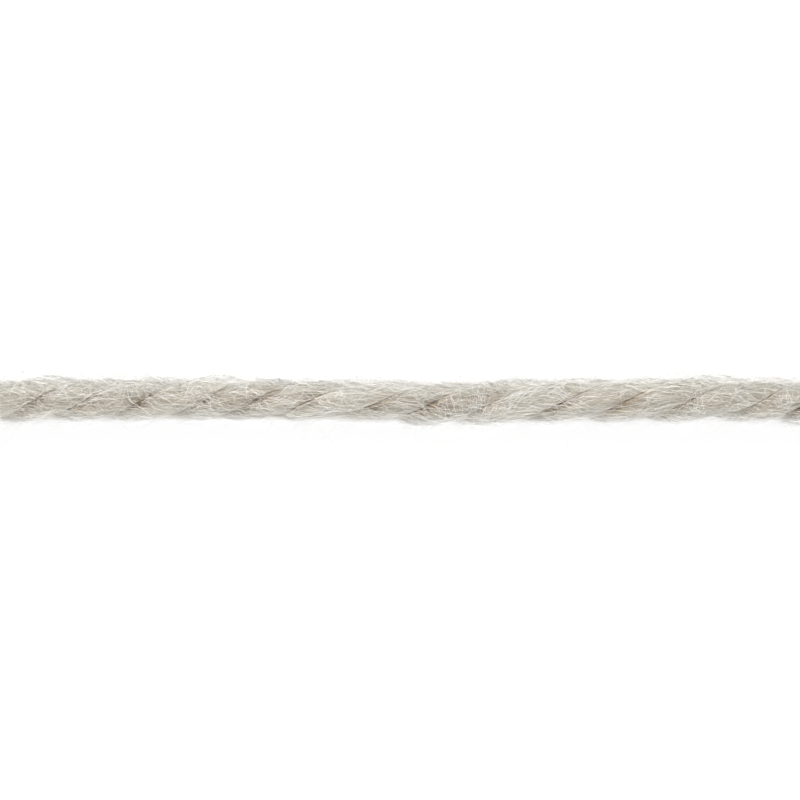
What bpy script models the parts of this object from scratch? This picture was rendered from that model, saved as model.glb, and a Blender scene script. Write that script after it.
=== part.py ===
"""A cut length of three-ply knitting yarn, lying straight on a flat surface.

Three soft singles are twisted round each other to the left. Each is one closed solid whose
section is a round, cut off flat where it presses on its two neighbours. The twist runs
tighter and looser along the yarn and the singles swell and thin, as hand-plied wool does.
Metres, +Z up. The yarn runs along +X with its middle over the origin, and rests on z = 0,
where its lowest fibres are pressed flat.
"""

import math
from collections import namedtuple

import bmesh
import bpy
import numpy as np

MM = 0.001

# Driving dimensions
LENGTH = 63 * MM
PLIES = 3
AXIS_HEIGHT = 1.34 * MM  # of the yarn's middle line over the surface
REACH = 1.50 * MM  # from the yarn's axis to the outside of an average ply
PLY_RADIUS = 0.86 * MM  # of the round part of a ply's section
HALF_GAP = 0.22 * MM  # each ply stands back this far from its neighbour's side
TIP_AT = 0.36 * MM  # the inner corner of the section is cut off at this distance from the axis
ARC_STEPS = 8  # flats round the outside of the section
STATIONS = 96  # sections along the yarn
WELD = 0.001 * MM

# Where each groove between two plies crosses the top of the yarn, and how far the ply that
# follows it reaches from the axis as it passes the -Y side and, later, the +Y side, in mm.
Crossing = namedtuple("Crossing", "groove_x near_side far_side")
CROSSINGS = (
    Crossing(-33.75, 1.50, 1.52),
    Crossing(-29.55, 1.52, 1.66),
    Crossing(-25.4, 1.45, 1.41),
    Crossing(-21.7, 1.53, 1.52),
    Crossing(-17.8, 1.48, 1.70),
    Crossing(-13.65, 1.38, 1.44),
    Crossing(-9.9, 1.42, 1.37),
    Crossing(-6.1, 1.45, 1.39),
    Crossing(-1.25, 1.38, 1.35),
    Crossing(2.5, 1.61, 1.57),
    Crossing(6.6, 1.59, 1.53),
    Crossing(11.7, 1.46, 1.51),
    Crossing(16.0, 1.55, 1.68),
    Crossing(20.4, 1.58, 1.54),
    Crossing(25.4, 1.55, 1.52),
    Crossing(28.5, 1.60, 1.55),
    Crossing(32.6, 1.52, 1.50),
)

# How far the yarn's middle line strays to the side on its way along, in mm.
Sway = namedtuple("Sway", "x y")
SWAYS = (
    Sway(-33.0, -0.55),
    Sway(-27.0, -0.05),
    Sway(-15.0, 0.07),
    Sway(-4.0, 0.02),
    Sway(3.5, -0.12),
    Sway(14.0, 0.02),
    Sway(27.0, -0.02),
    Sway(33.0, -0.50),
)


def smooth_curve(knots, values, at):
    """Read a smooth curve through the knots, with each slope taken from the neighbours."""
    knots = np.array(knots, float)
    values = np.array(values, float)
    slopes = np.gradient(values, knots)
    left = np.clip(np.searchsorted(knots, at) - 1, 0, len(knots) - 2)
    width = knots[left + 1] - knots[left]
    t = (at - knots[left]) / width
    return (
        (2 * t**3 - 3 * t**2 + 1) * values[left]
        + (t**3 - 2 * t**2 + t) * width * slopes[left]
        + (3 * t**2 - 2 * t**3) * values[left + 1]
        + (t**3 - t**2) * width * slopes[left + 1]
    )


def grooves_passed(x):
    """How many grooves have crossed the top by x; it grows by one for each third of a turn."""
    return smooth_curve([c.groove_x for c in CROSSINGS], range(len(CROSSINGS)), x / MM)


def ply_angle(x, ply):
    """A ply's place round the yarn: 0 on top, a quarter turn at +Y."""
    return 2 * math.pi / PLIES * (grooves_passed(x) - 0.5 - ply)


def ply_reach(x, ply):
    """How far a ply reaches from the axis, which swells and thins along it."""
    quarter = PLIES / 4
    knots = []
    reaches = []
    for groove in range(ply, len(CROSSINGS), PLIES):
        knots += [groove + 0.5 - quarter, groove + 0.5 + quarter]
        reaches += [CROSSINGS[groove].near_side, CROSSINGS[groove].far_side]
    passed = np.clip(grooves_passed(x), knots[0], knots[-1])
    return smooth_curve(knots, reaches, passed) * MM


def middle_line(x):
    """The yarn's own axis over the surface."""
    sideways = smooth_curve([s.x for s in SWAYS], [s.y for s in SWAYS], x / MM) * MM
    return np.stack([x, sideways, np.full_like(x, AXIS_HEIGHT)], axis=1)


def section_outline():
    """An average ply's section: u points away from the yarn's axis, v is across."""
    half_sector = math.pi / PLIES
    centre = REACH - PLY_RADIUS
    # The arc stops where it meets the flat sides, HALF_GAP in from the sector's edges.
    meets = math.asin((centre * math.sin(half_sector) - HALF_GAP) / PLY_RADIUS) + half_sector
    outline = []
    for step in range(ARC_STEPS + 1):
        turn = meets * (2 * step / ARC_STEPS - 1)
        outline.append((centre + PLY_RADIUS * math.cos(turn), PLY_RADIUS * math.sin(turn)))
    tip = (TIP_AT, (TIP_AT * math.sin(half_sector) - HALF_GAP) / math.cos(half_sector))
    halfway = tuple((a + b) / 2 for a, b in zip(outline[-1], tip))
    outline += [halfway, tip]
    outline += [(u, -v) for u, v in (tip, halfway)]
    return outline


def outline_curve(name, outline):
    """A closed flat curve, used as the section that is swept."""
    curve = bpy.data.curves.new(name, "CURVE")
    curve.dimensions = "2D"
    spline = curve.splines.new("POLY")
    spline.points.add(len(outline) - 1)
    for point, (u, v) in zip(spline.points, outline):
        point.co = (u, v, 0, 1)
    spline.use_cyclic_u = True
    return bpy.data.objects.new(name, curve)


def swept_ply(name, ply, section, parts):
    """Sweep the section along the yarn's axis, turning and swelling as it goes."""
    stations = np.linspace(-LENGTH / 2, LENGTH / 2, STATIONS)
    curve = bpy.data.curves.new(name + "_path", "CURVE")
    curve.dimensions = "3D"
    curve.twist_mode = "Z_UP"
    curve.bevel_mode = "OBJECT"
    curve.bevel_object = section
    curve.use_fill_caps = True
    spline = curve.splines.new("POLY")
    spline.points.add(STATIONS - 1)
    route = middle_line(stations)
    angles = ply_angle(stations, ply)
    reaches = ply_reach(stations, ply)
    for point, place, angle, reach in zip(spline.points, route, angles, reaches):
        point.co = (*place, 1)
        point.tilt = -math.pi / 2 - angle
        point.radius = reach / REACH
    path = bpy.data.objects.new(name + "_path", curve)
    parts.objects.link(path)
    bpy.context.view_layer.update()
    graph = bpy.context.evaluated_depsgraph_get()
    mesh = bpy.data.meshes.new_from_object(path.evaluated_get(graph))
    mesh.name = name
    bpy.data.objects.remove(path)
    return mesh


def press_flat(mesh):
    """Weld the end caps on, and flatten what would be below the surface."""
    shape = bmesh.new()
    shape.from_mesh(mesh)
    bmesh.ops.remove_doubles(shape, verts=shape.verts, dist=WELD)
    for vert in shape.verts:
        vert.co.z = max(vert.co.z, 0.0)
    bmesh.ops.recalc_face_normals(shape, faces=shape.faces)
    shape.to_mesh(mesh)
    shape.free()
    mesh.shade_smooth()
    mesh.set_sharp_from_angle(angle=math.radians(40))


def wool(name, colour):
    """Undyed wool: rough, with no shine of its own."""
    material = bpy.data.materials.new(name)
    material.use_nodes = True
    shader = material.node_tree.nodes["Principled BSDF"]
    shader.inputs["Base Color"].default_value = (*colour, 1)
    shader.inputs["Roughness"].default_value = 0.9
    shader.inputs["Metallic"].default_value = 0.0
    return material


def main():
    for thing in list(bpy.data.objects):
        bpy.data.objects.remove(thing)
    parts = bpy.data.collections.new("knitting_yarn")
    guides = bpy.data.collections.new("guides")
    for collection in (parts, guides):
        bpy.context.scene.collection.children.link(collection)
    section = outline_curve("ply_section", section_outline())
    section.hide_render = True
    section.display_type = "WIRE"
    guides.objects.link(section)
    colours = ((0.57, 0.53, 0.46), (0.55, 0.51, 0.44), (0.59, 0.55, 0.48))
    for ply, colour in enumerate(colours):
        name = f"ply_{ply + 1}"
        mesh = swept_ply(name, ply, section, parts)
        press_flat(mesh)
        mesh.materials.clear()
        mesh.materials.append(wool(name + "_wool", colour))
        parts.objects.link(bpy.data.objects.new(name, mesh))


main()
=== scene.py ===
"""Three-ply knitting wool, made fibre by fibre, lying straight on a pale surface.

The yarn is worked out in millimetres and becomes metres when a mesh is made. The set round it
is in metres. The yarn runs along +X. A place round it is an angle, 0 on top and a quarter turn
at the +Y side.
"""

import math
from collections import namedtuple

import bmesh
import bpy
import numpy as np
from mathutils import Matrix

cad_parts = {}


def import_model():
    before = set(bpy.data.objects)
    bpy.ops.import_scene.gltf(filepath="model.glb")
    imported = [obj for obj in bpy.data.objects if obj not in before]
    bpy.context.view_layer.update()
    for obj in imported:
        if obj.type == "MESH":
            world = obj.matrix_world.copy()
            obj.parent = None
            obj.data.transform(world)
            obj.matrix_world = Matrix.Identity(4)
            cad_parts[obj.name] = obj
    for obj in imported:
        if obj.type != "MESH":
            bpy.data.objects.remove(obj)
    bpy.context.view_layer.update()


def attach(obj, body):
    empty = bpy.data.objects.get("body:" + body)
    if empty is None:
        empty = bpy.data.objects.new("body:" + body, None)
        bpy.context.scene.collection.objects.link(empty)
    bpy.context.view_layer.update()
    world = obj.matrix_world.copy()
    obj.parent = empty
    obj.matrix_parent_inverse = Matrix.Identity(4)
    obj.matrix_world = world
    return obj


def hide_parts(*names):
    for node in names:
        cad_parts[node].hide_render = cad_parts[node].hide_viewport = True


MM = 0.001

# The yarn
LENGTH = 63.0
PLIES = 3
AXIS_HEIGHT = 1.34  # of its middle line over the surface
REACH = 1.50  # from its middle line to the outside of an average ply
PLY_RADIUS = 0.95  # rounder than in the solids, so that the plies press on each other
CENTRE = REACH - PLY_RADIUS  # from its middle line to a ply's own

# Where each groove between two plies crosses the top, how far the ply after it reaches on the
# near side (-Y) and on the far side (+Y), how strong the painted shade in the groove is and how
# much paler than usual that ply is.
Crossing = namedtuple("Crossing", "groove_x near_side far_side darkness paleness")
CROSSINGS = (
    Crossing(-33.75, 1.50, 1.52, 1.00, 0.00),
    Crossing(-29.55, 1.52, 1.66, 1.00, 0.00),
    Crossing(-25.4, 1.45, 1.41, 1.10, -0.02),
    Crossing(-21.7, 1.53, 1.52, 0.55, -0.08),
    Crossing(-17.8, 1.48, 1.70, 1.10, 0.00),
    Crossing(-13.65, 1.38, 1.44, 0.80, -0.05),
    Crossing(-9.9, 1.42, 1.37, 1.70, -0.02),
    Crossing(-6.1, 1.45, 1.39, 0.90, 0.10),
    Crossing(-1.25, 1.38, 1.35, 0.90, -0.05),
    Crossing(2.5, 1.61, 1.57, 0.90, -0.09),
    Crossing(6.6, 1.59, 1.53, 0.50, 0.01),
    Crossing(11.7, 1.46, 1.51, 1.10, 0.01),
    Crossing(16.0, 1.55, 1.68, 0.95, -0.02),
    Crossing(20.4, 1.58, 1.54, 0.85, 0.00),
    Crossing(25.4, 1.55, 1.52, 0.65, -0.07),
    Crossing(28.5, 1.60, 1.55, 1.60, -0.02),
    Crossing(32.6, 1.52, 1.50, 1.00, 0.00),
)

# How far the yarn's middle line strays to the side on its way along
Sway = namedtuple("Sway", "x y")
SWAYS = (
    Sway(-33.0, -0.55),
    Sway(-27.0, -0.05),
    Sway(-15.0, 0.07),
    Sway(-4.0, 0.02),
    Sway(3.5, -0.12),
    Sway(14.0, 0.02),
    Sway(27.0, -0.02),
    Sway(33.0, -0.50),
)

# How the plies are made up
TOUCH_GAP = 0.02  # between two plies where they press together
UNTWIST = 1.72  # turns a fibre makes in its ply, backwards, for each turn of the ply
PRESSED_SIDE = (1.1, 1.6)  # round a ply: where the others start to hold it and hold it most
PRESSED_FLAT = 0.8  # how much of its fuzz and ridges it loses there
SOFT_FLOOR = 0.12  # how gently the underside flattens on the surface
CORE_DEPTH = 0.11  # from a ply's outside to its dense inside
END_INSET = 0.15  # from the cut to the dense inside of each ply
BRIDGED = 0.80  # of REACH: loose fibres fill the grooves up to here
SIDES_BRIDGED = 0.82  # and those along both sides of the yarn fill its dips up to here
BAKE_MAP = "OFBake"

# How many fibres there are: in each ply, at each of its cut ends, and over all three plies
OUTER_FIBRES = 3100
INNER_FIBRES = 2500
END_FIBRES = 520
VEIL_AT_EACH_SIDE = 400
VEIL_OVER_GROOVES = 420
WISP_COUNT = 1000
HAZE_AT_EACH_SIDE = 7400
STRAY_COUNT = 80
SEED = 11

# The set, in metres
VIEW_WIDTH = 0.056
FLOOR_WIDTH = 3.0
FLOOR_HEIGHT = -0.00005  # just under the lowest fibres

# How shade and light are painted into the wool's tone. Tones run from 0, in deep shade, to 1,
# nearly white.
GROOVE_SHADE = 0.43  # the tone that full painted shade takes away
SHADE_WARMTH = 2.2  # how much browner the painted shade makes the wool for each step in tone
AFTER_GROOVE = 0.52  # shade on top of the yarn, on the ply that follows a groove,
AFTER_FADE = 0.22  # less this for each radian from the top
AFTER_NEAR_SIDE = 0.36  # and with this added on the near side
BEFORE_GROOVE = 0.42  # shade on top of the yarn, on the ply before a groove
BEFORE_FADE = 0.9  # the share of it that is lost towards both sides
LEE_SHADE = 0.24  # on the near side of a ply, behind the one before
SHOULDER_LIGHT = 0.24  # on the far side of a ply
RIM_LIGHT = 0.22  # along both edges of the yarn, as seen from above
UNDERNEATH_SHADE = 1.2  # beside that light, on the yarn's underside

# Where each shade starts and where it is full: in radians round a ply, from its outside, or
# round the yarn, from its top. Those across the yarn are the sine of the place round it.
GROOVE_SIDE = (0.85, 1.35)  # round a ply
AFTER_NEAR = (0.1, 0.5)  # round the yarn, towards the near side
BEFORE_FADING = (0.08, 0.8)  # round the yarn, both ways
LEE_SIDE = (-0.6, 1.2)  # round a ply
LEE_ACROSS = (3 / 16, -7 / 16)
SHOULDER_SIDE = (0.1, 0.7)  # round a ply
SHOULDER_ACROSS = (1 / 4, 7 / 12)
UNDERNEATH = (1.3, 1.8)  # round the yarn, both ways

# The light along the edges: its strength on the far side and on the near side, and the angles
# round the yarn where it starts and where it is full
Rim = namedtuple("Rim", "far near start full")
RIMS = (
    Rim(1.0, 1.0, 0.35, 0.95),
    Rim(0.35, 0.0, 0.0, 0.4),
    Rim(0.0, 0.8, 0.4, 0.8),
    Rim(2.9, 0.0, 0.8, 1.3),
)


# ---------------------------------------------------------------- the yarn's form


def ramp(value, start, end):
    """From 0 at the start to 1 at the end, and level past them. The end may be the lower."""
    return np.clip((value - start) / (end - start), 0, 1)


def smooth_curve(knots, values, at):
    """Read a smooth curve through the knots, with each slope taken from the neighbours."""
    knots = np.array(knots, float)
    values = np.array(values, float)
    slopes = np.gradient(values, knots)
    left = np.clip(np.searchsorted(knots, at) - 1, 0, len(knots) - 2)
    width = knots[left + 1] - knots[left]
    t = (at - knots[left]) / width
    return (
        (2 * t**3 - 3 * t**2 + 1) * values[left]
        + (t**3 - 2 * t**2 + t) * width * slopes[left]
        + (3 * t**2 - 2 * t**3) * values[left + 1]
        + (t**3 - t**2) * width * slopes[left + 1]
    )


def grooves_passed(x):
    """How many grooves have crossed the top by x; it grows by one for each third of a turn."""
    inside = np.clip(x, CROSSINGS[0].groove_x, CROSSINGS[-1].groove_x)
    return smooth_curve([c.groove_x for c in CROSSINGS], range(len(CROSSINGS)), inside)


def ply_angle(x, ply):
    """A ply's place round the yarn."""
    return 2 * math.pi / PLIES * (grooves_passed(x) - 0.5 - ply)


def swell(x, ply):
    """How plump a ply is, beside an average one."""
    quarter = PLIES / 4
    knots = []
    reaches = []
    for groove in range(ply, len(CROSSINGS), PLIES):
        knots += [groove + 0.5 - quarter, groove + 0.5 + quarter]
        reaches += [CROSSINGS[groove].near_side, CROSSINGS[groove].far_side]
    passed = np.clip(grooves_passed(x), knots[0], knots[-1])
    return smooth_curve(knots, reaches, passed) / REACH


def sideways(x):
    """How far the yarn's middle line strays to the side."""
    inside = np.clip(x, SWAYS[0].x, SWAYS[-1].x)
    return smooth_curve([s.x for s in SWAYS], [s.y for s in SWAYS], inside)


def outline(around):
    """An average ply's section: its radius in each direction, flat where it meets the others."""
    flat = CENTRE * math.sin(math.pi / PLIES) - TOUCH_GAP
    to_flat = np.cos(np.abs(wrapped(around)) - math.radians(150))
    return np.minimum(PLY_RADIUS, flat / np.maximum(to_flat, 0.05))


def groove_shade_strength(x, ply, around):
    """How strong the painted shade is in the groove that lies on this side of a ply."""
    turns = np.round((grooves_passed(x) - 0.5 - ply) / PLIES)
    number = ply + PLIES * turns + (around < 0)
    marks = np.array([c.darkness for c in CROSSINGS])
    return marks[np.clip(number, 0, len(marks) - 1).astype(int)]


def paleness(x, ply):
    """How much paler than usual a ply is, eased from each time it passes the top to the next."""
    knots = np.arange(ply, len(CROSSINGS), PLIES) + 0.5
    passed = np.clip(grooves_passed(x), knots[0], knots[-1])
    return smooth_curve(knots, [c.paleness for c in CROSSINGS[ply::PLIES]], passed)


def place_round(x, ply, around):
    """Where a spot on a ply lies round the whole yarn."""
    turn = ply_angle(x, ply)
    radius = outline(around)
    y = CENTRE * np.sin(turn) + radius * np.sin(turn + around)
    z = CENTRE * np.cos(turn) + radius * np.cos(turn + around)
    return np.arctan2(y, z)


def painted_shade(x, ply, around):
    """How much painted shade a place on a ply takes: most down in the grooves, above all on the
    near side in the lee of the ply before. Painted light makes its shoulder on the far side
    paler, and the edges of the yarn too."""
    place = place_round(x, ply, around)
    across = np.sin(place)
    off_top = np.abs(place)
    after = AFTER_GROOVE - AFTER_FADE * off_top + AFTER_NEAR_SIDE * ramp(-place, *AFTER_NEAR)
    before = BEFORE_GROOVE * (1 - BEFORE_FADE * ramp(off_top, *BEFORE_FADING))
    edge = ramp(np.abs(around), *GROOVE_SIDE) ** 1.4 * np.where(around > 0, after, before)
    lee = ramp(around, *LEE_SIDE) * ramp(across, *LEE_ACROSS)
    shoulder = ramp(around, *SHOULDER_SIDE) * ramp(across, *SHOULDER_ACROSS)
    rim = sum(np.where(place > 0, r.far, r.near) * ramp(off_top, r.start, r.full) for r in RIMS)
    underneath = ramp(off_top, *UNDERNEATH)
    rim = rim * (1 - underneath) - UNDERNEATH_SHADE * underneath
    shade = (edge + LEE_SHADE * lee) * groove_shade_strength(x, ply, around)
    return shade - SHOULDER_LIGHT * shoulder - RIM_LIGHT * rim


def wrapped(angle):
    """The same angle between minus and plus half a turn."""
    return (angle + math.pi) % (2 * math.pi) - math.pi


def looseness(around):
    """How much of its own fuzz and ridges a ply keeps where its side is held by the others."""
    return 1 - PRESSED_FLAT * ramp(np.abs(around), *PRESSED_SIDE)


def settled(z):
    """Heights, with what would be under the surface pressed flat just over it."""
    return (z + np.sqrt(z**2 + SOFT_FLOOR**2)) / 2


def on_ply(x, ply, around, lift):
    """Points at an angle round a ply's own centre, lifted off its surface."""
    turn = ply_angle(x, ply)
    plump = swell(x, ply)
    radius = outline(around) * plump + lift
    y = sideways(x) + CENTRE * plump * np.sin(turn) + radius * np.sin(turn + around)
    z = AXIS_HEIGHT + CENTRE * plump * np.cos(turn) + radius * np.cos(turn + around)
    return np.stack([x, y, settled(z)], axis=-1)


def envelope(x, place, bridged):
    """The yarn's outer radius at a place round it, with the grooves bridged."""
    outer = np.full(np.broadcast(x, place).shape, 0.0)
    for ply in range(PLIES):
        plump = swell(x, ply)
        off = wrapped(place - ply_angle(x, ply))
        centre, radius = CENTRE * plump, PLY_RADIUS * plump
        across = np.minimum(np.abs(centre * np.sin(off)), radius)
        reach = centre * np.cos(off) + np.sqrt(radius**2 - across**2)
        outer = np.maximum(outer, reach)
    return np.maximum(outer, bridged * REACH)


def round_yarn(x, place, lift, bridged=BRIDGED):
    """Points at a place round the whole yarn, lifted off its outside."""
    radius = envelope(x, place, bridged) + lift
    y = sideways(x) + radius * np.sin(place)
    z = AXIS_HEIGHT + radius * np.cos(place)
    return np.stack([x, y, settled(z)], axis=-1)


# ---------------------------------------------------------------- fibres


def link(obj):
    """Put an object in the scene."""
    bpy.context.scene.collection.objects.link(obj)
    return obj


def spinning_nodes():
    """Turns lines with a thickness into closed three-sided fibres."""
    nodes = bpy.data.node_groups.new("spin_fibres", "GeometryNodeTree")
    nodes.interface.new_socket("Geometry", in_out="INPUT", socket_type="NodeSocketGeometry")
    nodes.interface.new_socket("Geometry", in_out="OUTPUT", socket_type="NodeSocketGeometry")
    start = nodes.nodes.new("NodeGroupInput")
    end = nodes.nodes.new("NodeGroupOutput")
    lines = nodes.nodes.new("GeometryNodeMeshToCurve")
    along = nodes.nodes.new("GeometryNodeStoreNamedAttribute")
    along.inputs["Name"].default_value = "along"
    place = nodes.nodes.new("GeometryNodeSplineParameter")
    section = nodes.nodes.new("GeometryNodeCurvePrimitiveCircle")
    section.inputs["Resolution"].default_value = 3
    section.inputs["Radius"].default_value = 1.0
    around = nodes.nodes.new("GeometryNodeStoreNamedAttribute")
    around.inputs["Name"].default_value = "around"
    thick = nodes.nodes.new("GeometryNodeInputNamedAttribute")
    thick.inputs["Name"].default_value = "thick"
    tubes = nodes.nodes.new("GeometryNodeCurveToMesh")
    tubes.inputs["Fill Caps"].default_value = True
    smooth = nodes.nodes.new("GeometryNodeSetShadeSmooth")
    for source, target in (
        (start.outputs[0], lines.inputs["Mesh"]),
        (lines.outputs["Curve"], along.inputs["Geometry"]),
        (place.outputs["Factor"], along.inputs["Value"]),
        (section.outputs["Curve"], around.inputs["Geometry"]),
        (place.outputs["Factor"], around.inputs["Value"]),
        (along.outputs["Geometry"], tubes.inputs["Curve"]),
        (around.outputs["Geometry"], tubes.inputs["Profile Curve"]),
        (thick.outputs["Attribute"], tubes.inputs["Scale"]),
        (tubes.outputs["Mesh"], smooth.inputs["Geometry"]),
        (smooth.outputs["Geometry"], end.inputs[0]),
    ):
        nodes.links.new(source, target)
    return nodes


def values_of(mesh, name):
    """One of a mesh's own values, for every point in turn."""
    found = np.empty(len(mesh.vertices), np.float32)
    mesh.attributes[name].data.foreach_get("value", found)
    return found


Bundle = namedtuple("Bundle", "points thick tone warmth")


def at_points(bundles, key):
    """One of the bundles' thickness, tone or warmth, for every point in turn."""
    return np.concatenate(
        [np.broadcast_to(getattr(b, key), b.points.shape[:2]).ravel() for b in bundles]
    )


def spun(name, bundles, spinning, material):
    """One mesh of many fibres. Each bundle holds points (fibre, place, xyz) and, for each
    point, its thickness, tone and warmth."""
    guide = bpy.data.meshes.new(name + "_lines")
    points = np.concatenate([b.points.reshape(-1, 3) for b in bundles])
    points[:, 2] = np.maximum(points[:, 2], at_points(bundles, "thick"))
    guide.vertices.add(len(points))
    guide.vertices.foreach_set("co", (points * MM).ravel())
    joins = []
    first = 0
    for bundle in bundles:
        count, places = bundle.points.shape[:2]
        here = first + np.arange(count * places).reshape(count, places)
        joins.append(np.stack([here[:, :-1], here[:, 1:]], axis=-1).reshape(-1, 2))
        first += count * places
    joins = np.concatenate(joins)
    guide.edges.add(len(joins))
    guide.edges.foreach_set("vertices", joins.ravel())
    for key, unit in (("thick", MM), ("tone", 1.0), ("warmth", 1.0)):
        worth = (at_points(bundles, key) * unit).astype(np.float32)
        guide.attributes.new(key, "FLOAT", "POINT").data.foreach_set("value", worth)
    carrier = link(bpy.data.objects.new(name + "_lines", guide))
    carrier.modifiers.new("spin", "NODES").node_group = spinning
    graph = bpy.context.evaluated_depsgraph_get()
    mesh = bpy.data.meshes.new_from_object(
        carrier.evaluated_get(graph), preserve_all_data_layers=True, depsgraph=graph
    )
    bpy.data.objects.remove(carrier)
    mesh.name = name
    mesh.materials.clear()
    mesh.materials.append(material)
    lay_out(mesh)
    return link(bpy.data.objects.new(name, mesh))


def lay_out(mesh):
    """A map on which each fibre lies at its own tone, across, and warmth, upwards. Its own
    width and length take up a little of the map too, so that no face on it is empty."""
    corner = np.empty(len(mesh.loops), np.int32)
    mesh.loops.foreach_get("vertex_index", corner)
    across = 0.04 + 0.90 * values_of(mesh, "tone") + 0.006 * values_of(mesh, "around")
    up = 0.04 + 0.80 * values_of(mesh, "warmth") + 0.10 * values_of(mesh, "along")
    layer = mesh.uv_layers.new(name=BAKE_MAP)
    layer.uv.foreach_set("vector", np.stack([across, up], axis=1)[corner].ravel())


def waves(rng, count, along, lengths, size):
    """Soft random waviness for each fibre: a few waves of differing length."""
    total = np.zeros((count, along.shape[-1]))
    for _ in range(3):
        length = rng.uniform(*lengths, (count, 1))
        phase = rng.uniform(0, 2 * math.pi, (count, 1))
        total += np.sin(2 * math.pi * along / length + phase) * rng.normal(0, size, (count, 1))
    return total / math.sqrt(3)


def tapered(places, tip=0.35):
    """Thickness along a fibre, finer at both ends."""
    t = np.linspace(0, 1, places)
    return tip + (1 - tip) * np.clip(6 * np.minimum(t, 1 - t), 0, 1)


def shades(rng, count, tone, spread, warmth):
    """A tone and a warmth for each fibre."""
    tones = np.clip(rng.normal(tone, spread, (count, 1)), 0, 1)
    return tones, np.clip(rng.normal(warmth, 0.2, (count, 1)), 0, 1)


def within_cut(start, end, t):
    """Places from start to end of each fibre, short of the yarn's two cut ends."""
    start = np.maximum(start, -LENGTH / 2)
    end = np.minimum(end, LENGTH / 2)
    return start + (end - start) * t


def uneven(x, ply, around, shift):
    """Broad soft patches, from -1 to 1, where the fleece wasn't blended evenly."""
    total = np.sin(0.9 * x + 2.1 * ply + shift)
    total += np.sin(1.7 * x + 2.0 * around + ply + 2 * shift)
    total += np.sin(0.6 * x - 3.0 * around + 3 * shift)
    return total / 3


# A ply's own fibres
HALF_LENGTHS = (1.7, 2.6)  # from the middle to an end
PAST_CUT = 1.8  # how far past the cut the middle of one may lie
SLANT_SPREAD = 0.15  # how much they differ in slope, as a share of it
SIDE_SPREAD = 0.25  # radians round the ply
SIDE_WAVES = ((1.4, 4.5), 0.05)  # how long and, in radians, how wide their bends are
LIFT_WAVES = ((1.2, 3.5), 0.009)  # how long and how high their rises are
DEEPEST = -0.14  # under the ply's outside
HEIGHTS = (1.4, 0.03)  # over that: the shape and size of their spread
DIP = 0.06  # how much deeper their ends go
FIBRE_RADII = (0.007, 0.015)
FIBRE_TONES = (0.405, 0.08)  # the middle and spread
FIBRE_WARMTH = 0.46
DEPTH_PAINTED_SHADE = 0.3  # painted shade: how much paler they are for each millimetre they stand out, and darker for each they lie deeper
PATCH_TONE = 0.03  # how much broad patches differ in tone and in warmth
PATCH_WARMTH = 0.25


def roving(rng, ply, count, places=11):
    """Fibres that lie in a ply, nearly in line with the yarn. Each rises from one groove,
    runs over the outside of the ply and sinks into the next groove."""
    middle = rng.uniform(-LENGTH / 2 - PAST_CUT, LENGTH / 2 + PAST_CUT, (count, 1))
    half = rng.uniform(*HALF_LENGTHS, (count, 1))
    t = np.linspace(0, 1, places)[None, :]
    x = within_cut(middle - half, middle + half, t)
    slant = UNTWIST * rng.normal(1.0, SLANT_SPREAD, (count, 1))
    around = -slant * (ply_angle(x, ply) - ply_angle(middle, ply))
    around += rng.normal(0, SIDE_SPREAD, (count, 1))
    around += waves(rng, count, x, *SIDE_WAVES)
    height = rng.gamma(*HEIGHTS, (count, 1))
    lift = height + DEEPEST + waves(rng, count, x, *LIFT_WAVES)
    lift -= (DIP + height) * (2 * t - 1) ** 8
    lift *= looseness(around)
    thick = rng.uniform(*FIBRE_RADII, (count, 1)) * tapered(places)
    tone, warmth = shades(rng, count, *FIBRE_TONES, FIBRE_WARMTH)
    # painted shade and light from the grooves, lee, shoulders and rims
    shade = GROOVE_SHADE * painted_shade(x, ply, around)
    start = around[:, :1]
    tone = tone + PATCH_TONE * uneven(middle, ply, start, 0.0) + paleness(x, ply)
    # painted shade: deeper fibres darker, and the painted groove shade and light taken off
    tone = np.clip(tone + DEPTH_PAINTED_SHADE * lift - shade, 0, 1)
    # the painted shade is also made browner
    warmth = warmth + PATCH_WARMTH * uneven(middle, ply, start, 1.4) + SHADE_WARMTH * shade
    return Bundle(on_ply(x, ply, around, lift), thick, tone, np.clip(warmth, 0, 1))


# Fibres outside the plies, in mm and radians: how long they are, how far they slope from the
# yarn's line, how much they bend over their length and crimp on the way, how high they stand
# (with the shape of its spread and the height of the lowest), how deep one end is rooted, their
# radius, tone and warmth, and how many points each has.
Wander = namedtuple(
    "Wander", "length slope bend crimp height shape base root thick tone warmth places"
)
VEIL = Wander(3.0, 0.22, 0.4, 0.12, 0.05, 1.5, -0.07, 0.0, 0.012, 0.62, 0.3, 14)
WISPS = Wander(2.6, 0.7, 1.1, 0.35, 0.06, 2.5, -0.03, 0.0, 0.0068, 0.86, 0.0, 18)
STRAND = Wander(1.15, 0.28, 0.6, 0.3, 0.05, 2.0, -0.03, 0.0, 0.0076, 0.88, 0.0, 16)
FAR_HAZE = Wander(1.5, 0.32, 0.55, 0.18, 0.90, 1.3, -0.06, 0.10, 0.0064, 0.92, 0.5, 5)
NEAR_HAZE = Wander(1.5, 0.32, 0.55, 0.18, 0.19, 1.5, -0.06, 0.10, 0.0064, 0.96, 0.6, 5)
STRAYS = Wander(5.0, 0.8, 1.6, 0.3, 0.9, 2.0, 0.0, 0.1, 0.005, 0.7, 0.2, 48)

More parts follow.
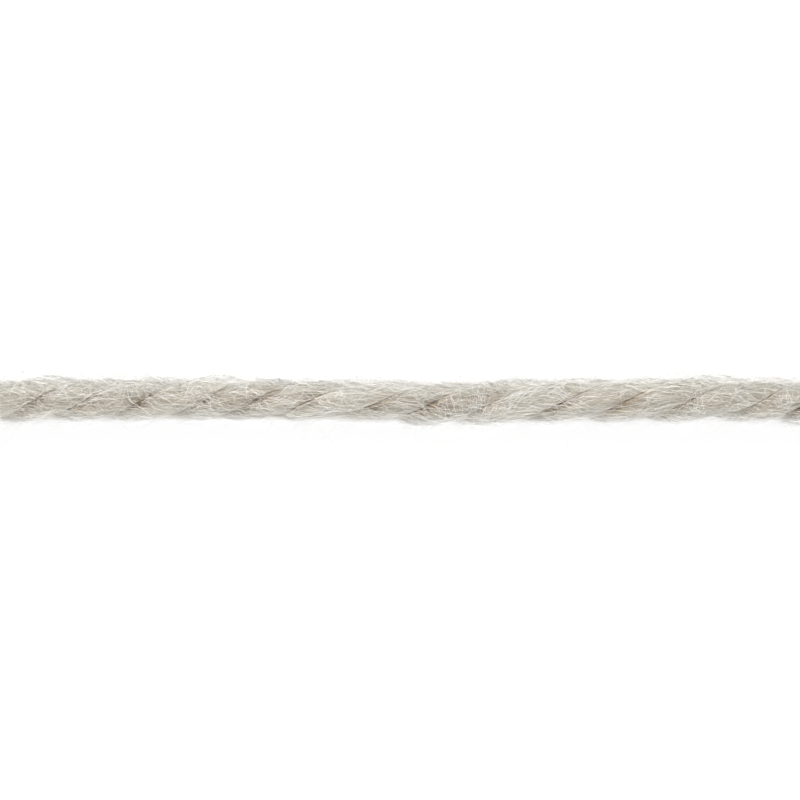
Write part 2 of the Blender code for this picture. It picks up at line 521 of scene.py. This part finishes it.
# Locks of pale hair caught across the plies: where each lies, in mm along the yarn and degrees
# round it from the top, which way it runs (0 is along the yarn, 90 straight across it), its
# length in mm and how many strands it has.
Lock = namedtuple("Lock", "x place heading length strands")
LOCKS = (
    Lock(-26.5, 25, 65, 1.3, 8),
    Lock(-24.9, 60, 80, 1.1, 7),
    Lock(-24.1, 32, 32, 3.0, 9),
    Lock(-22.5, 35, 100, 1.8, 7),
    Lock(-21.6, 30, 80, 1.7, 9),
    Lock(-21.5, 3, 29, 4.6, 14),
    Lock(-18.0, 15, 100, 1.5, 11),
    Lock(-17.6, -22, 150, 1.7, 9),
    Lock(-16.3, 2, 165, 1.9, 10),
    Lock(-14.7, 12, 60, 1.7, 9),
    Lock(-14.3, -25, 45, 2.0, 13),
    Lock(-13.2, -8, 110, 2.2, 9),
    Lock(-10.9, 25, 90, 2.0, 8),
    Lock(-9.9, -25, 110, 1.6, 9),
    Lock(-7.9, 28, 30, 3.2, 9),
    Lock(-7.5, -42, 40, 1.4, 7),
    Lock(-5.4, -18, 140, 1.4, 9),
    Lock(-4.1, 5, 94, 3.2, 13),
    Lock(-3.3, 5, 154, 2.2, 9),
    Lock(0.5, -22, 162, 2.2, 9),
    Lock(3.0, 10, 12, 2.8, 8),
    Lock(4.0, -10, 100, 2.2, 7),
    Lock(5.4, -5, 94, 3.3, 17),
    Lock(5.0, -35, 168, 2.2, 7),
    Lock(7.2, -15, 46, 4.0, 13),
    Lock(8.2, 8, 50, 3.6, 15),
    Lock(8.6, -15, 18, 2.8, 9),
    Lock(9.5, -30, 150, 2.2, 8),
    Lock(10.9, 10, 26, 3.2, 10),
    Lock(12.1, -12, 158, 3.6, 9),
    Lock(10.9, -30, 105, 1.6, 7),
    Lock(13.0, 48, 88, 1.6, 8),
    Lock(16.0, 20, 76, 2.0, 8),
    Lock(17.3, -30, 22, 3.4, 10),
    Lock(20.6, -8, 82, 2.4, 17),
    Lock(21.2, 12, 35, 2.4, 12),
    Lock(22.3, 28, 140, 2.0, 8),
    Lock(23.6, 18, 90, 2.0, 10),
    Lock(24.2, -14, 160, 3.4, 10),
    Lock(26.8, 20, 95, 2.8, 13),
    Lock(27.2, -12, 30, 2.4, 9),
)


LOOSE_BENDS = (0.8, 2.6)  # how long the bends of loose fibres are
RADIUS_SPREAD = (0.7, 1.3)  # how much they differ in thickness, as shares of their kind's own
TONE_SPREAD = 0.10


def stroll(rng, kind, x0, towards=0.0):
    """The way that loose fibres go over a surface: along the yarn, across it and up off it."""
    count = len(x0)
    length = kind.length * rng.gamma(4, 0.25, (count, 1))
    t = np.linspace(0, 1, kind.places)[None, :]
    heading = towards + rng.normal(0, kind.slope, (count, 1))
    heading = heading + math.pi * rng.integers(0, 2, (count, 1))
    heading = heading + rng.normal(0, kind.bend, (count, 1)) * (2 * t - 1)
    heading += waves(rng, count, t * length, LOOSE_BENDS, kind.crimp)
    step = length / (kind.places - 1)
    x = x0 + np.cumsum(np.cos(heading), axis=1) * step
    x -= np.clip(x.max(axis=1, keepdims=True) - LENGTH / 2, 0, None)
    x -= np.clip(x.min(axis=1, keepdims=True) + LENGTH / 2, None, 0)
    across = np.cumsum(np.sin(heading), axis=1) * step
    height = kind.height * rng.gamma(kind.shape, 1 / kind.shape, (count, 1))
    arch = np.sin(math.pi * t * rng.uniform(0.5, 1.0, (count, 1)))
    return x, across, kind.base + height * arch - kind.root * np.exp(-8 * t)


def finished(rng, kind, points):
    """A bundle from its points, with the thickness and shades of its kind of fibre."""
    count = len(points)
    thick = kind.thick * rng.uniform(*RADIUS_SPREAD, (count, 1)) * tapered(kind.places)
    tone, warmth = shades(rng, count, kind.tone, TONE_SPREAD, kind.warmth)
    return Bundle(points, thick, tone, warmth)


BARE_FROM = 2.7  # radians from the top, each way: no loose fibre starts lower than this
VEIL_PLACE = 1.2  # how far round the veil's fibres lie, and those of the haze
HAZE_PLACE = 1.45
PLACE_SPREAD = 0.27  # how much that differs, as a share of it
EDGE = (1.0, 1.5)  # sideways from the yarn's middle line, where they start and stop paling
FULL_SHADE_DEPTH = 0.4  # under the yarn's middle line
BEFORE_EDGE_SHADE = 0.225  # the tone they lose as painted shade where they aren't past the edge
UNDER_SHADE = 0.4  # and what more painted shade takes, in full shade under the yarn
EDGE_COOLER = 0.7  # the warmth they lose past the edge
GROOVE_FAR_END = 0.85  # radians from the top, where the far end of a groove is
GROOVE_END_HALF = 0.45  # and half of what counts as that end
OVER_GROOVE_SPREAD = 0.12  # how far round from the groove the fibres over it lie


def wandering(rng, kind, count):
    """Fibres that wander over the outside of the whole yarn."""
    x0 = rng.uniform(-LENGTH / 2, LENGTH / 2, (count, 1))
    x, across, lift = stroll(rng, kind, x0)
    place = rng.uniform(-BARE_FROM, BARE_FROM, (count, 1)) + across / REACH
    return finished(rng, kind, round_yarn(x, place, lift))


def beside(rng, kind, side, middle, count):
    """Fibres gathered along one side of the yarn, about a place round it. They hang nearly
    straight over the dips between its plies. Where they stand out past its edge they are less
    warm; elsewhere painted shade darkens them, the most under the yarn."""
    x0 = rng.uniform(-LENGTH / 2, LENGTH / 2, (count, 1))
    x, across, lift = stroll(rng, kind, x0)
    place = side * rng.normal(middle, PLACE_SPREAD * middle, (count, 1)) + across / REACH
    bundle = finished(rng, kind, round_yarn(x, place, lift, SIDES_BRIDGED))
    past_edge = ramp(side * (bundle.points[..., 1] - sideways(x)), *EDGE)
    underneath = ramp(bundle.points[..., 2], AXIS_HEIGHT, AXIS_HEIGHT - FULL_SHADE_DEPTH)
    # painted shade over the yarn and under it
    tone = bundle.tone - (BEFORE_EDGE_SHADE + UNDER_SHADE * underneath) * (1 - past_edge)
    warmth = bundle.warmth - EDGE_COOLER * past_edge
    return bundle._replace(tone=np.clip(tone, 0, 1), warmth=np.clip(warmth, 0, 1))


def over_grooves(rng, kind, count):
    """Fibres that lie over the far ends of the grooves and half fill them. More places are
    drawn than are needed, and the first ones that are over such an end are kept."""
    draws = 4 * count
    x0 = rng.uniform(-LENGTH / 2, LENGTH / 2, (draws, 1))
    ply = rng.integers(0, PLIES, (draws, 1))
    groove = wrapped(ply_angle(x0, ply) + math.pi / PLIES)
    at_far_end = np.abs(groove.ravel() - GROOVE_FAR_END) < GROOVE_END_HALF
    x, across, lift = stroll(rng, kind, x0[at_far_end][:count])
    place = groove[at_far_end][:count] + rng.normal(0, OVER_GROOVE_SPREAD, (len(x), 1))
    place = place + across / REACH
    return finished(rng, kind, round_yarn(x, place, lift))


def caught(rng, lock):
    """One lock of hair, its strands side by side about their middle."""
    kind = STRAND._replace(length=lock.length)
    spread = 0.25 + 0.06 * lock.length
    each = (lock.strands, 1)
    x, across, lift = stroll(rng, kind, np.zeros(each), math.radians(lock.heading))
    x = x - x.mean(axis=1, keepdims=True) + rng.normal(lock.x, spread, each)
    across = across - across.mean(axis=1, keepdims=True) + rng.normal(0, spread, each)
    place = math.radians(lock.place) + across / REACH
    return finished(rng, kind, round_yarn(x, place, lift))


# The fibres at a cut end
BRUSH_LENGTHS = (0.9, 1.8)
BRUSH_RADII = (0.014, 0.024)
PAST_END = (0.10, 0.12)  # how far past the cut their tips are: the middle and spread
SPLAY = 0.10  # how far their tips lean out
BRUSH_DEEPEST = 0.9  # how near they come to the ply's own middle, as a share of the way
BRUSH_INSET = 0.05  # how far inside the ply's outside the outer ones lie
BRUSH_BENDS = (0.7, 2.0)  # how long their bends are
BRUSH_TONES = (0.68, 0.14)
BRUSH_WARMTH = 0.5


def cut_brush(rng, ply, end, count=END_FIBRES, places=6):
    """The fibres of a ply at one of its cut ends, splayed a little; end is -1 or 1. They fill
    its section from the middle to the outside."""
    t = np.linspace(0, 1, places)[None, :]
    tip = LENGTH / 2 + rng.normal(*PAST_END, (count, 1))
    root = tip - rng.uniform(*BRUSH_LENGTHS, (count, 1))
    x = end * (root + (tip - root) * t)
    around = rng.uniform(-math.pi, math.pi, (count, 1))
    around = around - UNTWIST * (ply_angle(x, ply) - ply_angle(x[:, -1:], ply))
    around += waves(rng, count, x, BRUSH_BENDS, 0.08) * t
    inward = 1 - np.sqrt(rng.uniform(0, 1, (count, 1)))
    splay = rng.gamma(1.0, SPLAY, (count, 1)) * t**3
    lift = -inward * outline(around) * BRUSH_DEEPEST - BRUSH_INSET + splay
    lift += waves(rng, count, x, BRUSH_BENDS, 0.04) * t
    thick = rng.uniform(*BRUSH_RADII, (count, 1))
    tone, warmth = shades(rng, count, *BRUSH_TONES, BRUSH_WARMTH)
    return Bundle(on_ply(x, ply, around, lift), thick, tone, warmth)


# ---------------------------------------------------------------- the plies' bodies


# Ridges along the dense inside: how high, how many round it, how far each wanders round it,
# how fast it wanders along the yarn and how much that differs from ply to ply
Ridge = namedtuple("Ridge", "height number wander pace change")
RIDGES = (Ridge(0.006, 17, 0.9, 1.3, 1), Ridge(0.005, 29, 1.1, 0.9, 2))


def ply_body(ply, material, stations=360, flats=36):
    """A ply's dense inside: a sheet rolled into the ply's own twisted form."""
    shape = bmesh.new()
    shape.loops.layers.uv.new(BAKE_MAP)
    bmesh.ops.create_grid(shape, x_segments=stations, y_segments=flats, size=0.5, calc_uvs=True)
    co = np.array([v.co for v in shape.verts])
    x = co[:, 0] * (LENGTH - 2 * END_INSET)
    around = co[:, 1] * 2 * math.pi
    turned = around + UNTWIST * ply_angle(x, ply)
    ridges = sum(
        r.height * np.sin(r.number * turned + r.wander * np.sin(x * r.pace + r.change * ply))
        for r in RIDGES
    )
    placed = on_ply(x, ply, around, (ridges - CORE_DEPTH) * looseness(around))
    for vert, point in zip(shape.verts, placed * MM):
        vert.co = point
    bmesh.ops.remove_doubles(shape, verts=shape.verts, dist=1e-6)
    rims = [e for e in shape.edges if e.is_boundary]
    bmesh.ops.holes_fill(shape, edges=rims, sides=0)
    bmesh.ops.recalc_face_normals(shape, faces=shape.faces)
    name = f"ply_{ply + 1}_body"
    mesh = bpy.data.meshes.new(name)
    shape.to_mesh(mesh)
    shape.free()
    mesh.shade_smooth()
    mesh.materials.append(material)
    add_grain(mesh, ply)
    return link(bpy.data.objects.new(name, mesh))


def add_grain(mesh, ply):
    """For each point, its place in the same bundle of fibres untwisted and straight, and how
    much painted shade it takes."""
    co = np.empty(len(mesh.vertices) * 3, np.float32)
    mesh.vertices.foreach_get("co", co)
    x, y, z = co.reshape(-1, 3).T / MM
    turn = ply_angle(x, ply)
    centre = CENTRE * swell(x, ply)
    across = y - sideways(x) - centre * np.sin(turn)
    up = z - AXIS_HEIGHT - centre * np.cos(turn)
    around = wrapped(np.arctan2(across, up) - turn)
    turned = around + UNTWIST * turn
    grain = np.stack([x, PLY_RADIUS * np.cos(turned), PLY_RADIUS * np.sin(turned)], axis=1)
    mesh.attributes.new("grain", "FLOAT_VECTOR", "POINT").data.foreach_set(
        "vector", grain.astype(np.float32).ravel()
    )
    shade = GROOVE_SHADE * painted_shade(x, ply, around) - paleness(x, ply)
    mesh.attributes.new("shade", "FLOAT", "POINT").data.foreach_set(
        "value", shade.astype(np.float32)
    )


# ---------------------------------------------------------------- materials


def new_material(name):
    """A material, with its nodes and links."""
    material = bpy.data.materials.new(name)
    material.use_nodes = True
    return material, material.node_tree.nodes, material.node_tree.links


def wool_colours():
    """Shared by all the wool: a tone from shadowed to pale, and how warm its grey is."""
    group = bpy.data.node_groups.new("wool_colour", "ShaderNodeTree")
    group.interface.new_socket("Tone", in_out="INPUT", socket_type="NodeSocketFloat")
    group.interface.new_socket("Warmth", in_out="INPUT", socket_type="NodeSocketFloat")
    group.interface.new_socket("Color", in_out="OUTPUT", socket_type="NodeSocketColor")
    nodes, links = group.nodes, group.links
    start = nodes.new("NodeGroupInput")
    end = nodes.new("NodeGroupOutput")
    greys = []
    for stops in (
        ((0.0, (0.16, 0.14, 0.11)), (0.5, (0.59, 0.585, 0.545)), (1.0, (0.94, 0.94, 0.945))),
        ((0.0, (0.20, 0.15, 0.10)), (0.5, (0.64, 0.58, 0.48)), (1.0, (0.95, 0.93, 0.88))),
    ):
        by_tone = nodes.new("ShaderNodeValToRGB")
        by_tone.color_ramp.elements.new(0.5)
        for element, (place, colour) in zip(by_tone.color_ramp.elements, stops):
            element.position = place
            element.color = (*colour, 1)
        links.new(start.outputs["Tone"], by_tone.inputs["Fac"])
        greys.append(by_tone)
    mix = nodes.new("ShaderNodeMix")
    mix.data_type = "RGBA"
    links.new(start.outputs["Warmth"], mix.inputs["Factor"])
    links.new(greys[0].outputs["Color"], mix.inputs["A"])
    links.new(greys[1].outputs["Color"], mix.inputs["B"])
    links.new(mix.outputs["Result"], end.inputs["Color"])
    return group


def woolly(nodes):
    """The shader all the wool shares: matt, with the soft glow of fine hair."""
    shader = nodes["Principled BSDF"]
    shader.inputs["Specular IOR Level"].default_value = 0.05
    shader.inputs["Sheen Weight"].default_value = 0.06
    shader.inputs["Sheen Roughness"].default_value = 0.5
    shader.inputs["Roughness"].default_value = 0.7
    return shader


def attribute(nodes, name):
    """A node that reads one of a mesh's own values."""
    node = nodes.new("ShaderNodeAttribute")
    node.attribute_name = name
    return node


def fibre_wool(colours):
    """Each fibre takes its colour from the tone and warmth it was given."""
    material, nodes, links = new_material("wool_fibres")
    shader = woolly(nodes)
    colour = nodes.new("ShaderNodeGroup")
    colour.node_tree = colours
    links.new(attribute(nodes, "tone").outputs["Fac"], colour.inputs["Tone"])
    links.new(attribute(nodes, "warmth").outputs["Fac"], colour.inputs["Warmth"])
    links.new(colour.outputs["Color"], shader.inputs["Base Color"])
    return material


def body_wool(colours):
    """Finely streaked along its fibres, with painted shade, darker and browner, down in the
    grooves.
    """
    material, nodes, links = new_material("wool_inside")
    shader = woolly(nodes)
    colour = nodes.new("ShaderNodeGroup")
    colour.node_tree = colours
    grain = attribute(nodes, "grain")
    shade = attribute(nodes, "shade")
    stretch = nodes.new("ShaderNodeMapping")
    stretch.inputs["Scale"].default_value = (0.35, 9.0, 9.0)
    streaks = nodes.new("ShaderNodeTexNoise")
    streaks.inputs["Scale"].default_value = 1.0
    streaks.inputs["Detail"].default_value = 5.0
    streaks.inputs["Roughness"].default_value = 0.7
    broad = nodes.new("ShaderNodeTexNoise")
    broad.inputs["Scale"].default_value = 0.5
    bump = nodes.new("ShaderNodeBump")
    bump.inputs["Distance"].default_value = 0.03 * MM
    bump.inputs["Strength"].default_value = 0.8
    spread = nodes.new("ShaderNodeMapRange")
    spread.inputs["From Min"].default_value = 0.3
    spread.inputs["From Max"].default_value = 0.7
    spread.inputs["To Min"].default_value = 0.285
    spread.inputs["To Max"].default_value = 0.485
    links.new(grain.outputs["Vector"], stretch.inputs["Vector"])
    links.new(stretch.outputs["Vector"], streaks.inputs["Vector"])
    links.new(grain.outputs["Vector"], broad.inputs["Vector"])
    links.new(streaks.outputs["Fac"], spread.inputs["Value"])
    # painted shade: the shade attribute darkens the streaked tone and makes the warmth browner
    shaded_tone = nodes.new("ShaderNodeMath")
    shaded_tone.operation = "SUBTRACT"
    shaded_tone.use_clamp = True
    links.new(spread.outputs["Result"], shaded_tone.inputs[0])
    links.new(shade.outputs["Fac"], shaded_tone.inputs[1])
    links.new(shaded_tone.outputs["Value"], colour.inputs["Tone"])
    shaded_warmth = nodes.new("ShaderNodeMath")
    shaded_warmth.operation = "MULTIPLY_ADD"
    shaded_warmth.use_clamp = True
    shaded_warmth.inputs[1].default_value = SHADE_WARMTH
    links.new(shade.outputs["Fac"], shaded_warmth.inputs[0])
    links.new(broad.outputs["Fac"], shaded_warmth.inputs[2])
    links.new(shaded_warmth.outputs["Value"], colour.inputs["Warmth"])
    links.new(colour.outputs["Color"], shader.inputs["Base Color"])
    links.new(streaks.outputs["Fac"], bump.inputs["Height"])
    links.new(bump.outputs["Normal"], shader.inputs["Normal"])
    return material


# ---------------------------------------------------------------- the set


def floor():
    """A pale surface that glows evenly, like a light table."""
    bpy.ops.mesh.primitive_plane_add(size=FLOOR_WIDTH, location=(0, 0, FLOOR_HEIGHT))
    plane = bpy.context.object
    plane.name = "floor"
    material, nodes, _ = new_material("pale_floor")
    shader = nodes["Principled BSDF"]
    shader.inputs["Base Color"].default_value = (0.05, 0.05, 0.05, 1)
    shader.inputs["Roughness"].default_value = 1.0
    shader.inputs["Specular IOR Level"].default_value = 0.0
    shader.inputs["Emission Color"].default_value = (1, 1, 1, 1)
    shader.inputs["Emission Strength"].default_value = 0.94
    plane.data.materials.append(material)


def lights():
    """Soft lamps low down on all four sides, the far one brightest, and an even glow all round.
    Where there is nothing else, the camera sees white."""
    world = bpy.data.worlds.new("studio")
    world.use_nodes = True
    nodes, links = world.node_tree.nodes, world.node_tree.links
    overhead = nodes["Background"]
    overhead.inputs["Color"].default_value = (1, 1, 1, 1)
    overhead.inputs["Strength"].default_value = 0.575
    seen = nodes.new("ShaderNodeBackground")
    seen.inputs["Color"].default_value = (1, 1, 1, 1)
    seen.inputs["Strength"].default_value = 1.0
    path = nodes.new("ShaderNodeLightPath")
    mix = nodes.new("ShaderNodeMixShader")
    links.new(path.outputs["Is Camera Ray"], mix.inputs["Fac"])
    links.new(overhead.outputs["Background"], mix.inputs[1])
    links.new(seen.outputs["Background"], mix.inputs[2])
    links.new(mix.outputs["Shader"], nodes["World Output"].inputs["Surface"])
    bpy.context.scene.world = world
    for name, place, power, size, colour in (
        ("window", (0.02, 0.40, 0.30), 4.15, 0.36, (1.0, 0.99, 0.972)),
        ("left_end", (-0.45, 0.05, 0.15), 0.8, 0.30, (1.0, 0.99, 0.97)),
        ("right_end", (0.45, 0.05, 0.15), 0.8, 0.30, (1.0, 0.99, 0.97)),
        ("fill", (-0.05, -0.42, 0.20), 2.0, 0.30, (1.0, 0.99, 0.965)),
    ):
        lamp = bpy.data.lights.new(name, "AREA")
        lamp.energy = power
        lamp.size = size
        lamp.color = colour
        holder = link(bpy.data.objects.new(name, lamp))
        holder.location = place
        direction = -holder.location.normalized()
        holder.rotation_euler = direction.to_track_quat("-Z", "Y").to_euler()


def camera():
    """Straight above the yarn's middle."""
    lens = bpy.data.cameras.new("above")
    lens.lens = 135
    lens.sensor_width = 36
    lens.clip_start = 0.01
    lens.clip_end = 10
    holder = link(bpy.data.objects.new("above", lens))
    distance = VIEW_WIDTH / lens.sensor_width * lens.lens
    holder.location = (0, 0, AXIS_HEIGHT * MM + distance)
    bpy.context.scene.camera = holder


def ply_route(ply, points=160):
    """A ply's own middle line, which winds round the yarn's."""
    x = np.linspace(-LENGTH / 2, LENGTH / 2, points)
    turn = ply_angle(x, ply)
    centre = CENTRE * swell(x, ply)
    y = sideways(x) + centre * np.sin(turn)
    z = AXIS_HEIGHT + centre * np.cos(turn)
    return np.stack([x, y, z], axis=1) * MM


def main():
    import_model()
    rng = np.random.default_rng(SEED)
    colours = wool_colours()
    fibres_material = fibre_wool(colours)
    inside_material = body_wool(colours)
    spinning = spinning_nodes()
    camera()
    veil = [beside(rng, VEIL, side, VEIL_PLACE, VEIL_AT_EACH_SIDE) for side in (-1, 1)]
    veil.append(over_grooves(rng, VEIL, VEIL_OVER_GROOVES))
    loose = [
        spun(name, bundles, spinning, fibres_material)
        for name, bundles in (
            ("veil", veil),
            ("wisps", [wandering(rng, WISPS, WISP_COUNT)]),
            ("locks", [caught(rng, lock) for lock in LOCKS]),
            ("haze_far_side", [beside(rng, FAR_HAZE, 1, HAZE_PLACE, HAZE_AT_EACH_SIDE)]),
            ("haze_near_side", [beside(rng, NEAR_HAZE, -1, HAZE_PLACE, HAZE_AT_EACH_SIDE)]),
            ("stray_hairs", [wandering(rng, STRAYS, STRAY_COUNT)]),
        )
    ]
    for ply in range(PLIES):
        body = ply_body(ply, inside_material)
        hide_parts(f"ply_{ply + 1}")
        name = f"ply_{ply + 1}"
        ends = [cut_brush(rng, ply, end) for end in (-1, 1)]
        outer = [roving(rng, ply, OUTER_FIBRES)]
        inner = [roving(rng, ply, INNER_FIBRES)] + ends
        layers = [
            spun(name + "_outer_fibres", outer, spinning, fibres_material),
            spun(name + "_inner_fibres", inner, spinning, fibres_material),
        ]
        route = ply_route(ply)
        for piece in [body] + layers:
            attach(piece, "root")
    for piece in loose:
        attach(piece, "root")
    floor()
    lights()
    bpy.context.scene.view_settings.view_transform = "Standard"


main()
